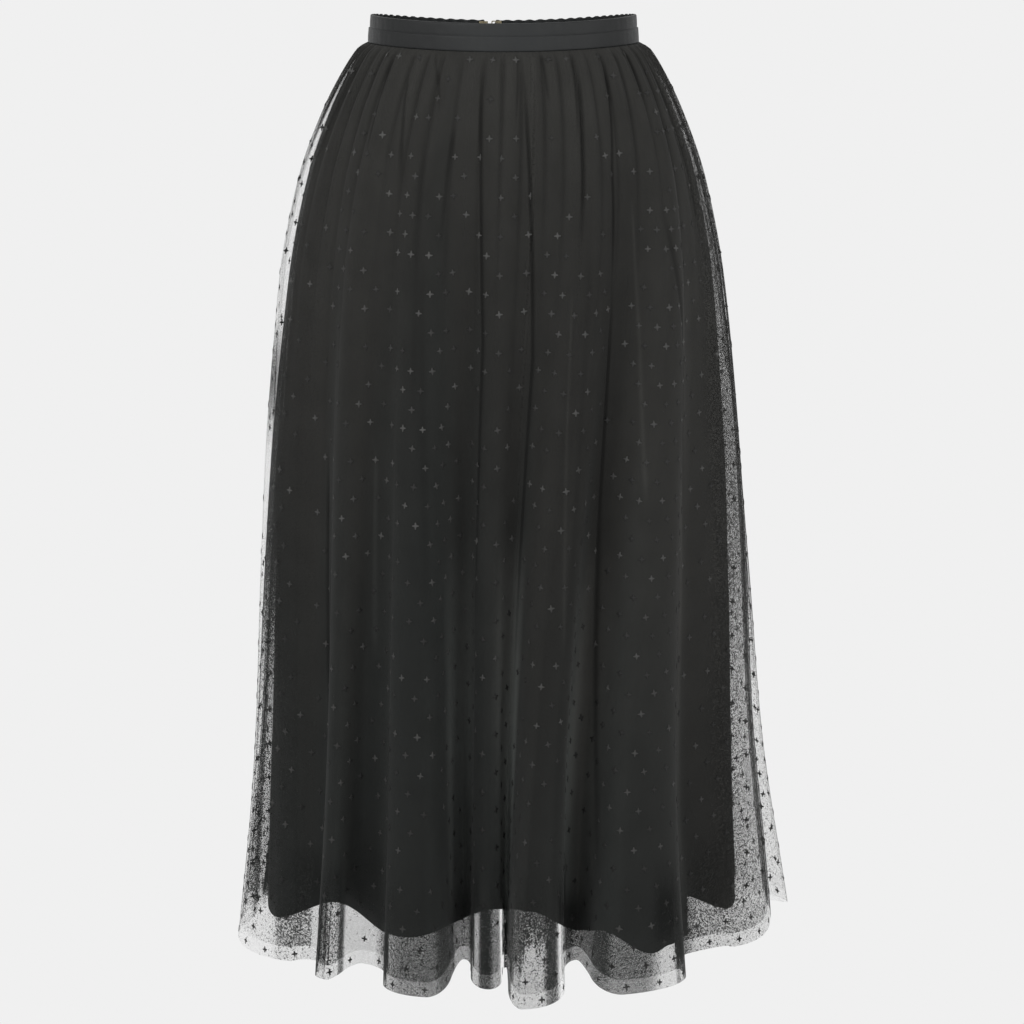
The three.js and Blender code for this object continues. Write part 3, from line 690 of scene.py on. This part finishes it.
def net_material(name, cell, clump, colour, sheen):
    """Open net: threads round small cells with nothing between them, and clumps where they lie close."""
    mat, tree = material(name)
    out = add(tree, "ShaderNodeOutputMaterial")
    uv = add(tree, "ShaderNodeUVMap", uv_map="flat")
    cells = add(tree, "ShaderNodeTexVoronoi", feature="DISTANCE_TO_EDGE", voronoi_dimensions="2D")
    cells.inputs["Scale"].default_value = 1 / cell
    cells.inputs["Randomness"].default_value = 0.8
    link(tree, uv.outputs["UV"], cells.inputs["Vector"])
    thread = add(tree, "ShaderNodeAttribute", attribute_name="thread", attribute_type="GEOMETRY")
    mask = value(tree, "LESS_THAN", cells.outputs["Distance"], thread.outputs["Fac"])
    knots = add(tree, "ShaderNodeTexVoronoi", feature="F1", voronoi_dimensions="2D")
    knots.inputs["Scale"].default_value = 1 / clump
    knots.inputs["Randomness"].default_value = 1.0
    link(tree, uv.outputs["UV"], knots.inputs["Vector"])
    pick = add(tree, "ShaderNodeSeparateColor")
    link(tree, knots.outputs["Color"], pick.inputs[0])
    clumped = add(tree, "ShaderNodeAttribute", attribute_name="clump", attribute_type="GEOMETRY")
    share = value(tree, "DIVIDE", pick.outputs[0], value(tree, "MAXIMUM", clumped.outputs["Fac"], 0.001))
    knot = value(tree, "SUBTRACT", 1.5, share, clamp=True)
    alpha = value(tree, "MAXIMUM", mask, value(tree, "MULTIPLY", knot, 0.9))
    patches = add(tree, "ShaderNodeTexNoise", noise_dimensions="2D")
    patches.inputs["Scale"].default_value = 30
    patches.inputs["Detail"].default_value = 3
    link(tree, uv.outputs["UV"], patches.inputs["Vector"])
    shade = add(tree, "ShaderNodeMix", data_type="RGBA")
    shade.inputs[6].default_value = (*[c * 0.85 for c in colour], 1)
    shade.inputs[7].default_value = (*[c * 1.15 for c in colour], 1)
    link(tree, patches.outputs["Fac"], shade.inputs[0])
    tone = add(tree, "ShaderNodeAttribute", attribute_name="tone", attribute_type="GEOMETRY")
    tinted = add(tree, "ShaderNodeMix", data_type="RGBA", blend_type="MULTIPLY")
    tinted.inputs[0].default_value = 1.0
    link(tree, shade.outputs[2], tinted.inputs[6])
    link(tree, tone.outputs["Color"], tinted.inputs[7])
    shader = add(tree, "ShaderNodeBsdfPrincipled")
    link(tree, tinted.outputs[2], shader.inputs["Base Color"])
    shader.inputs["Roughness"].default_value = 0.8
    shader.inputs["Specular IOR Level"].default_value = 0.12
    shader.inputs["Sheen Weight"].default_value = sheen
    shader.inputs["Sheen Roughness"].default_value = 0.5
    link(tree, alpha, shader.inputs["Alpha"])
    link(tree, shader.outputs[0], out.inputs["Surface"])
    return mat


def cloth_material(name, colour, roughness, sheen, weave, bump_depth, specular=0.4, variation=0.15, toned=False):
    """Plain cloth with a fine over and under weave and slow variation of colour."""
    mat, tree = material(name)
    out = add(tree, "ShaderNodeOutputMaterial")
    uv = add(tree, "ShaderNodeUVMap", uv_map="flat")
    shader = add(tree, "ShaderNodeBsdfPrincipled")
    warp = add(tree, "ShaderNodeTexWave", wave_type="BANDS", bands_direction="X")
    weft = add(tree, "ShaderNodeTexWave", wave_type="BANDS", bands_direction="Y")
    for node in (warp, weft):
        node.inputs["Scale"].default_value = weave
        link(tree, uv.outputs["UV"], node.inputs["Vector"])
    cross = value(tree, "MULTIPLY", warp.outputs["Fac"], weft.outputs["Fac"])
    cloud = add(tree, "ShaderNodeTexNoise", noise_dimensions="2D")
    cloud.inputs["Scale"].default_value = 18
    cloud.inputs["Detail"].default_value = 4
    link(tree, uv.outputs["UV"], cloud.inputs["Vector"])
    amount = value(tree, "ADD", value(tree, "MULTIPLY", cross, 0.4), value(tree, "MULTIPLY", cloud.outputs["Fac"], 0.6))
    shade = add(tree, "ShaderNodeMix", data_type="RGBA")
    shade.inputs[6].default_value = (*[c * (1 - variation) for c in colour], 1)
    shade.inputs[7].default_value = (*[c * (1 + variation) for c in colour], 1)
    link(tree, amount, shade.inputs[0])
    base = shade.outputs[2]
    if toned:
        tone = add(tree, "ShaderNodeAttribute", attribute_name="tone", attribute_type="GEOMETRY")
        tinted = add(tree, "ShaderNodeMix", data_type="RGBA", blend_type="MULTIPLY")
        tinted.inputs[0].default_value = 1.0
        link(tree, base, tinted.inputs[6])
        link(tree, tone.outputs["Color"], tinted.inputs[7])
        base = tinted.outputs[2]
    link(tree, base, shader.inputs["Base Color"])
    rough = value(tree, "ADD", value(tree, "MULTIPLY", cloud.outputs["Fac"], 0.12), roughness - 0.06)
    link(tree, rough, shader.inputs["Roughness"])
    relief = add(tree, "ShaderNodeBump")
    relief.inputs["Strength"].default_value = 0.5
    relief.inputs["Distance"].default_value = bump_depth
    link(tree, cross, relief.inputs["Height"])
    link(tree, relief.outputs[0], shader.inputs["Normal"])
    shader.inputs["Specular IOR Level"].default_value = specular
    shader.inputs["Sheen Weight"].default_value = sheen
    shader.inputs["Sheen Roughness"].default_value = 0.4
    link(tree, shader.outputs[0], out.inputs["Surface"])
    return mat


def spot_material(name, twist):
    """Thread of the woven spots, each as light as its own value says."""
    mat, tree = material(name)
    out = add(tree, "ShaderNodeOutputMaterial")
    place = add(tree, "ShaderNodeTexCoord")
    strands = add(tree, "ShaderNodeTexNoise")
    strands.inputs["Scale"].default_value = twist
    link(tree, place.outputs["Object"], strands.inputs["Vector"])
    tone = add(tree, "ShaderNodeAttribute", attribute_name="tone", attribute_type="GEOMETRY")
    shade = add(tree, "ShaderNodeMix", data_type="RGBA", blend_type="MULTIPLY")
    shade.inputs[0].default_value = 0.3
    link(tree, tone.outputs["Color"], shade.inputs[6])
    link(tree, strands.outputs["Color"], shade.inputs[7])
    shader = add(tree, "ShaderNodeBsdfPrincipled")
    link(tree, shade.outputs[2], shader.inputs["Base Color"])
    shader.inputs["Roughness"].default_value = 0.7
    shader.inputs["Specular IOR Level"].default_value = 0.2
    link(tree, shader.outputs[0], out.inputs["Surface"])
    return mat


def metal_material(name, colour, roughness, scratches=400):
    mat, tree = material(name)
    out = add(tree, "ShaderNodeOutputMaterial")
    shader = add(tree, "ShaderNodeBsdfPrincipled")
    place = add(tree, "ShaderNodeTexCoord")
    grain = add(tree, "ShaderNodeTexNoise")
    grain.inputs["Scale"].default_value = scratches
    grain.inputs["Detail"].default_value = 4
    link(tree, place.outputs["Object"], grain.inputs["Vector"])
    shade = add(tree, "ShaderNodeMix", data_type="RGBA")
    shade.inputs[6].default_value = (*[c * 0.75 for c in colour], 1)
    shade.inputs[7].default_value = (*[min(1, c * 1.15) for c in colour], 1)
    link(tree, grain.outputs["Fac"], shade.inputs[0])
    link(tree, shade.outputs[2], shader.inputs["Base Color"])
    rough = value(tree, "ADD", value(tree, "MULTIPLY", grain.outputs["Fac"], 0.2), roughness - 0.1)
    link(tree, rough, shader.inputs["Roughness"])
    shader.inputs["Metallic"].default_value = 1.0
    link(tree, shader.outputs[0], out.inputs["Surface"])
    return mat


outer_net_mat = net_material("spotted_net", 0.0007, 0.0009, (0.030, 0.030, 0.030), 0.03)
under_net_mat = net_material("plain_net", 0.0006, 0.001, (0.028, 0.028, 0.028), 0.03)
lining_mat = cloth_material("lining", (0.0165, 0.0175, 0.0165), 0.7, 0.03, 900, 0.00008, 0.15)
satin_mat = cloth_material("satin", (0.023, 0.0245, 0.025), 0.45, 0.05, 1400, 0.00005, 0.2, toned=True)
tape_mat = cloth_material("zip_tape", (0.014, 0.014, 0.015), 0.8, 0.2, 500, 0.0001, 0.3)
spot_mat = spot_material("spot_thread", 1500)
gold_mat = metal_material("pale_gold", (0.78, 0.68, 0.45), 0.3)
enamel_mat = metal_material("black_enamel", (0.03, 0.03, 0.032), 0.35)


def dress(obj, mat, body="skirt"):
    obj.data.materials.clear()
    obj.data.materials.append(mat)
    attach(obj, body)
    return obj


# Nets
spans = {}
first = 0
for panel, columns in panels.items():
    spans[panel] = (first, len(columns))
    first += len(columns)
TOTAL = first


def net_panels(prefix, length, rows, gathered, inset, mat):
    levels = level_rows(length, rows, 1.15)
    points, threads, clumps, colours = build_layer(levels, gathered, inset)
    made = {}
    for panel, (start, count) in spans.items():
        pick = np.arange(start, start + count + 1) % TOTAL
        p = points[:, pick].copy()
        # the seam keeps a hair's breadth between the two panels
        for side, step in ((0, 1), (-1, -2)):
            near = p[:, step] if side == 0 else p[:, -2]
            away = near - p[:, side]
            away /= np.maximum(np.linalg.norm(away, axis=-1, keepdims=True), 1e-6)
            p[:, side] += away * 0.04
        obj = new_object(f"{prefix}_{panel}_cloth", p, grid_faces(rows, count + 1))
        along = flat_along[np.arange(start, start + count + 1)]
        middle = (along[0] + along[-1]) / 2
        spread = middle + (along[None, :] - middle) * cut_width(levels)[:, None]
        flat = np.stack(np.broadcast_arrays(spread, levels[:, None]), -1) * MM
        set_uv(obj, flat.reshape(-1, 2))
        set_values(obj, "thread", threads[:, pick])
        set_values(obj, "clump", clumps[:, pick])
        set_colours(obj, "tone", colours[:, pick])
        dress(obj, mat)
        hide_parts(f"{prefix}_{panel}")
        width = (along[-1] - along[0]) * MM
        made[panel] = (obj, p, spread, levels, width)
    return made


NET_ROWS = 100
outer = net_panels("outer_net", NET_LENGTH, NET_ROWS, True, 0.5, outer_net_mat)
under = net_panels("under_net", UNDER_LENGTH, NET_ROWS, False, 2.0, under_net_mat)


# Lining
def lining_wave(angle):
    waves = LINING_WAVES
    first_valley = waves[0][0]
    turned = np.where(angle < first_valley, angle + 360, angle)
    out = np.zeros_like(turned, float)
    lower = np.zeros_like(turned, float)
    for i, row in enumerate(waves):
        after = waves[i + 1] if i + 1 < len(waves) else (first_valley + 360,) + waves[0][1:]
        for valley, near in ((row[0], row), (after[0], after)):
            low, high = sorted((valley, row[1]))
            here = (turned >= low) & (turned <= high)
            share = bump((turned - valley) / (row[1] - valley))
            out = np.where(here, near[2] + (row[3] - near[2]) * share, out)
            lower = np.where(here, near[4] + (row[5] - near[4]) * share, lower)
    return out, lower


def lining_surface(angle, below, inset):
    share = below / LINING_LENGTH
    width = float(level("width", below) - level("side", below)) - inset
    front, back = [float(level(name, below) - level("inset", below)) - inset for name in ("front", "back")]
    point, out = on_ring(angle, width, front, back)
    stand, lower = lining_wave(angle)
    a = np.radians(angle)
    soft = 0.5 * np.sin(19 * a + below / 70) + 0.4 * np.sin(31 * a - below / 53)
    point = point + out * (stand * share ** 1.5 + soft * share - 0.5 * share)[:, None]
    return np.column_stack([point, cloth_top(angle) - below - lower * share])


lining_levels = level_rows(LINING_LENGTH, 70)
for panel, (start, end) in {"front": (-90, 90), "back_right": (90, CLOSURE), "back_left": (CLOSURE, 270)}.items():
    count = int((end - start) * 2)
    gap = 0.01
    angles = np.linspace(start + gap, end - gap, count + 1)
    outer_rows = np.array([lining_surface(angles, b, 0) for b in lining_levels])
    inner_rows = np.array([lining_surface(angles, b, 0.8) for b in lining_levels])
    steps = np.linalg.norm(np.diff(outer_rows[-1], axis=0), axis=1)
    along = np.concatenate([[0], np.cumsum(steps)])
    flat = np.stack(np.broadcast_arrays(along[None, :], lining_levels[:, None]), -1) * MM
    obj = make_wall(f"lining_{panel}_cloth", outer_rows, inner_rows, flat)
    dress(obj, lining_mat)
    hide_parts(f"lining_{panel}")


# Waistband
def band_section(front):
    """Distance down the band and out from its lower edge, from the top edge to the lower edge."""
    if front:
        return [(0.0, -1.9), (0.15, -1.45), (0.5, -1.08), (1.2, -0.95), (3, -0.92), (5, -0.9), (7, -0.9), (9, -0.92),
                (10.4, -0.98), (10.9, -1.1), (10.95, -0.35), (11.1, -0.1), (11.6, 0.0), (13, 0.0), (16, 0.0), (19, 0.0),
                (22, 0.0), (23.0, -0.05), (23.4, -0.3), (23.5, -0.6)]
    return [(0.0, -1.5), (0.3, -1.05), (0.9, -0.9), (2.2, -0.9), (4, -0.9), (6, -0.9), (8, -0.9), (10.2, -0.92),
            (10.8, -1.05), (11.0, -0.3), (11.5, -0.02), (13, 0.0), (16, 0.0), (19, 0.0), (22, 0.0), (23.2, -0.15), (23.5, -0.5)]


# Painted sheen and shade of the satin band by angle round the waist: lighter at the middle front, the sides and the
# back opening, darker between
BAND_SHADE_AT = (-90, -78, -62, -30, -12, 0, 14, 30, 62, 80, 130, 186, 230, 270)
BAND_SHADE = (1, 0.9, 0.6, 0.62, 1, 1.05, 1, 0.7, 0.62, 0.9, 0.8, 1, 0.8, 1)
DEGREE_LENGTH = math.pi * (WAIST_WIDTH + WAIST_DEPTH) / 360
RUCHE = {"back_right": 19, "back_left": 16}


def band(name, start, end, columns, ruches, cut):
    section = band_section(not ruches)
    outer_rows, inner_rows, flat = [], [], []
    for down, out in section:
        first_cut, last_cut = [c / DEGREE_LENGTH for c in cut(down)]
        angle = np.linspace(start + first_cut, end - last_cut, columns + 1)
        flare = BAND_FLARE * (down - BAND_HEIGHT) / BAND_HEIGHT
        t = np.linspace(0, 1, columns + 1)
        point, outward = on_ring(angle, WAIST_WIDTH, WAIST_DEPTH, WAIST_DEPTH)
        a = np.radians(angle)
        rise = np.zeros(columns + 1)
        inner_wave = np.zeros(columns + 1)
        if ruches:
            turn = t * ruches + 0.016 * down * np.where(down < 11, 1, -1)
            index = np.floor(turn)
            wave = bump(2 * (turn - index)) ** 1.3
            size = 0.75 + 0.5 * hashed(index, 5)
            stand = -1.3 * wave * size * 0.9 + 0.12 * np.sin(2 * np.pi * 3 * turn)
            stand += -0.25 * np.sin(2 * np.pi * 2 * turn + 1.3) ** 2
            rise = -0.8 * wave * size if down < 1 else rise
            inner_wave = 0.6 * wave * size
        else:
            soft = 0.12 * np.sin(17 * a + down * 0.12) + 0.08 * np.sin(41 * a - down * 0.2) + 0.05 * np.sin(83 * a)
            stand = soft * math.sin(math.pi * min(1, max(0.15, (down % 11.5) / 11.5)))
        z = band_top(angle) - down + rise
        outer_point = point + outward * (out + flare + stand)[:, None]
        inner_point = point + outward * (flare - BAND_THICKNESS + 0.1 + inner_wave)[:, None]
        outer_rows.append(np.column_stack([outer_point, z]))
        inner_rows.append(np.column_stack([inner_point, z]))
        flat.append(np.column_stack([angle * DEGREE_LENGTH, np.full(columns + 1, down)]) * MM)
    obj = make_wall(name + "_cloth", np.array(outer_rows), np.array(inner_rows), np.array(flat))
    # painted sheen and shade, carried in the band's tone
    sheen = np.interp(np.linspace(start, end, columns + 1), BAND_SHADE_AT, BAND_SHADE)
    set_colours(obj, "tone", np.tile(sheen[:, None], (2 * len(section), 3)))
    dress(obj, satin_mat)
    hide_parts(name)
    return obj


def notch(down):
    return SEAM_GAP / 2 + 4.8 * max(0.0, 1 - down / 11)


half_gap = 0.02  # the sewn seam draws the two edges together
bands = {
    "front": band("waistband_front", -90, 90, 300, 0, lambda d: (half_gap, half_gap)),
    "back_right": band("waistband_back_right", 90, CLOSURE, 19 * 14, 19, lambda d: (half_gap, notch(d))),
    "back_left": band("waistband_back_left", CLOSURE, 270, 16 * 14, 16, lambda d: (notch(d), half_gap)),
}


# Woven spots on the outer net
SPOT_PITCH = 32.0
SPOT_ARM = 2.9
SPOT_WAIST = 0.85  # half the width of an arm at its root
SPOT_TIP = 0.42


def spot_outline():
    """A small four-armed star, flat, with its points in turn round it."""
    points = []
    for k in range(4):
        a = math.radians(90 * k)
        c, s = math.cos(a), math.sin(a)
        for along, across in ((SPOT_WAIST * 1.05, -SPOT_WAIST), (SPOT_ARM, -SPOT_TIP), (SPOT_ARM, SPOT_TIP)):
            points.append((along * c - across * s, along * s + across * c))
    return points


def spots(panel):
    obj, grid, along, levels, _ = outer[panel]
    outline = np.array(spot_outline())
    verts, tones = [], []
    first_column = math.ceil(along[-1, 0] / (SPOT_PITCH / 2))
    last_column = math.floor(along[-1, -1] / (SPOT_PITCH / 2))
    columns = np.arange(grid.shape[1])
    rows = np.arange(grid.shape[0])
    for i in range(first_column, last_column + 1):
        s = i * SPOT_PITCH / 2
        down = (i % 2) * SPOT_PITCH / 2 + 6 - SPOT_PITCH
        while down < NET_LENGTH - 4 - SPOT_PITCH:
            down += SPOT_PITCH
            r = float(np.interp(down, levels, rows))
            r0 = min(int(r), grid.shape[0] - 2)
            fr = r - r0
            if s - along[r0, 0] < 5 or along[r0, -1] - s < 5:
                continue
            c = float(np.interp(s, along[r0], columns))
            c0 = min(int(c), grid.shape[1] - 2)
            fc = c - c0
            quad = grid[r0:r0 + 2, c0:c0 + 2]
            base = (quad[0, 0] * (1 - fr) + quad[1, 0] * fr) * (1 - fc) + (quad[0, 1] * (1 - fr) + quad[1, 1] * fr) * fc
            right = (quad[0, 1] - quad[0, 0]) * (1 - fr) + (quad[1, 1] - quad[1, 0]) * fr
            downward = (quad[1, 0] - quad[0, 0]) * (1 - fc) + (quad[1, 1] - quad[0, 1]) * fc
            right /= np.linalg.norm(right) + 1e-9
            up = -downward / (np.linalg.norm(downward) + 1e-9)
            normal = np.cross(right, up)
            normal /= np.linalg.norm(normal) + 1e-9
            up = np.cross(normal, right)
            k = i * 131 + int(down)
            phase = ring[(spans[panel][0] + c0) % TOTAL, 5]
            chance = float(hashed(k, 17))
            gathered = math.exp(-down / 420) * (0.25 if 19.6 < phase < 21.6 and down > 120 else 1)
            if chance < 0.64 * gathered:
                continue
            faint = float(hashed(k, 18))
            lightness = 0.027 + 0.052 * max(0, faint - 0.3) / 0.7
            # painted shade: spots lower down are made darker, as they look with the light behind them
            lightness *= 1 - 0.4 * min(1, max(0, (down - 300) / 400))
            turn = (float(hashed(k, 7)) - 0.5) * 0.25
            size = 0.92 + 0.16 * float(hashed(k, 8))
            co, si = math.cos(turn) * size, math.sin(turn) * size
            n = len(verts) * len(outline)
            local = outline @ np.array([[co, si], [-si, co]])
            flat_points = base + local[:, :1] * right + local[:, 1:] * up
            front = flat_points + normal * 0.28
            centre_out = base + normal * 0.45
            centre_in = base - normal * 0.05
            back = flat_points - normal * 0.02
            block = np.vstack([front, back, centre_out[None], centre_in[None]])
            verts.append(block)
            tones.append(np.tile([lightness, lightness, lightness * 0.97], (len(block), 1)))
    count = len(outline)
    block_size = 2 * count + 2
    base_faces = []
    for j in range(count):
        k = (j + 1) % count
        base_faces.append((2 * count, j, k))
        base_faces.append((2 * count + 1, count + k, count + j))
        base_faces.append((j, count + j, count + k))
        base_faces.append((j, count + k, k))
    base_faces = np.array(base_faces)
    faces = np.vstack([base_faces + i * block_size for i in range(len(verts))])
    made = new_object(f"spots_{panel}", np.vstack(verts), faces, smooth_shade=False)
    set_colours(made, "tone", np.vstack(tones))
    dress(made, spot_mat)
    return made


spot_pieces = {panel: spots(panel) for panel in spans}

# Zip teeth, on the inner edges of the two tapes, and the stitches of the lining's hem
def boxes(name, centres, across, up, out, size, mat):
    """Many small boxes as one mesh. across, up and out are the directions of each, and size its half sizes."""
    corners = np.array([(i, j, k) for i in (-1, 1) for j in (-1, 1) for k in (-1, 1)], float) * size
    axes = np.stack([across, up, out], 1)
    verts = centres[:, None, :] + corners @ axes
    base = np.array([(0, 1, 3, 2), (4, 6, 7, 5), (0, 4, 5, 1), (2, 3, 7, 6), (0, 2, 6, 4), (1, 5, 7, 3)])
    faces = np.vstack([base + 8 * i for i in range(len(centres))])
    made = new_object(name, verts.reshape(-1, 3), faces, smooth_shade=False)
    dress(made, mat)
    return made


ZIP_LENGTH = 175.0
TOOTH_PITCH = 1.6
zip_levels = np.arange(4, ZIP_LENGTH - 3, TOOTH_PITCH / 2)
tooth_centres, tooth_across, tooth_out = [], [], []
for i, below in enumerate(zip_levels):
    side = 1 if i % 2 else -1
    per_degree = DEGREE_LENGTH * float(level("width", below)) / WAIST_WIDTH
    a = np.array([CLOSURE + side * 0.42 / per_degree])
    _, outward = on_ring(a, WAIST_WIDTH, WAIST_DEPTH, WAIST_DEPTH)
    place = lining_surface(a, below, 0)[0]
    tooth_centres.append(place - np.array([*outward[0], 0]) * 2.6)
    tooth_out.append([*outward[0], 0])
    tooth_across.append([outward[0][1], -outward[0][0], 0])
upright = np.tile([0.0, 0, 1], (len(zip_levels), 1))
boxes("zip_teeth", np.array(tooth_centres), np.array(tooth_across), upright, np.array(tooth_out),
      (0.75, 0.32, 0.5), enamel_mat)

HEM_STITCH_UP = 18.0
stitch_angles = np.arange(-89, 269, 0.9)
stitch_middle = lining_surface(stitch_angles, LINING_LENGTH - HEM_STITCH_UP, 0)
stitch_next = lining_surface(stitch_angles + 0.3, LINING_LENGTH - HEM_STITCH_UP, 0)
stitch_along = stitch_next - stitch_middle
stitch_along /= np.linalg.norm(stitch_along, axis=1, keepdims=True)
stitch_up = np.tile([0.0, 0, 1], (len(stitch_angles), 1))
stitch_out = np.cross(stitch_along, stitch_up)
stitch_mat = cloth_material("stitch_thread", (0.03, 0.031, 0.03), 0.7, 0.1, 3000, 0.00003, 0.2)
boxes("lining_hem_stitches", stitch_middle, stitch_along, stitch_up, stitch_out, (1.0, 0.14, 0.12), stitch_mat)

# Carried over pieces
for node, mat in (("zip_tape_left", tape_mat), ("zip_tape_right", tape_mat), ("zip_slider", enamel_mat),
                  ("zip_pull", enamel_mat), ("hook", gold_mat), ("eye", gold_mat)):
    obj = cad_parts[node]
    for slot in obj.material_slots:
        slot.material = mat

# Studio
scene = bpy.context.scene
scene.view_settings.view_transform = "Standard"
world = bpy.data.worlds.new("studio")
scene.world = world
world.use_nodes = True
world.node_tree.nodes["Background"].inputs[0].default_value = (0.871, 0.871, 0.871, 1)
world.node_tree.nodes["Background"].inputs[1].default_value = 0.75

floor_mesh = bpy.data.meshes.new("floor")
FLOOR = 40.0
floor_mesh.from_pydata([(-FLOOR, -FLOOR, -1.3), (FLOOR, -FLOOR, -1.3), (FLOOR, FLOOR, -1.3), (-FLOOR, FLOOR, -1.3)], [], [(0, 1, 2, 3)])
floor = bpy.data.objects.new("floor", floor_mesh)
bpy.context.collection.objects.link(floor)
floor_mat, tree = material("floor")
floor_out = add(tree, "ShaderNodeOutputMaterial")
glow = add(tree, "ShaderNodeEmission")
glow.inputs[0].default_value = (0.871, 0.871, 0.871, 1)
glow.inputs[1].default_value = 1.0
link(tree, glow.outputs[0], floor_out.inputs["Surface"])
floor.data.materials.append(floor_mat)


def area_light(name, location, target, size, power):
    light = bpy.data.lights.new(name, "AREA")
    light.shape = "RECTANGLE"
    light.size, light.size_y = size
    light.energy = power
    obj = bpy.data.objects.new(name, light)
    bpy.context.collection.objects.link(obj)
    from mathutils import Vector
    obj.location = location
    obj.rotation_euler = (Vector(target) - Vector(location)).to_track_quat("-Z", "Y").to_euler()
    return obj


area_light("key", (-2.2, -2.6, 1.6), (0, 0, -0.4), (1.6, 2.2), 60)
area_light("fill", (2.6, -2.2, 0.8), (0, 0, -0.4), (1.4, 2.2), 36)

camera_data = bpy.data.cameras.new("camera")
camera = bpy.data.objects.new("camera", camera_data)
bpy.context.collection.objects.link(camera)
camera.location = (0.0074, -3.2, 0.168)
camera.rotation_euler = (math.radians(90 - 10.48), 0, 0)
camera_data.sensor_width = 36
camera_data.lens = 36 * 3683 / 1024
camera_data.clip_end = 200
scene.camera = camera
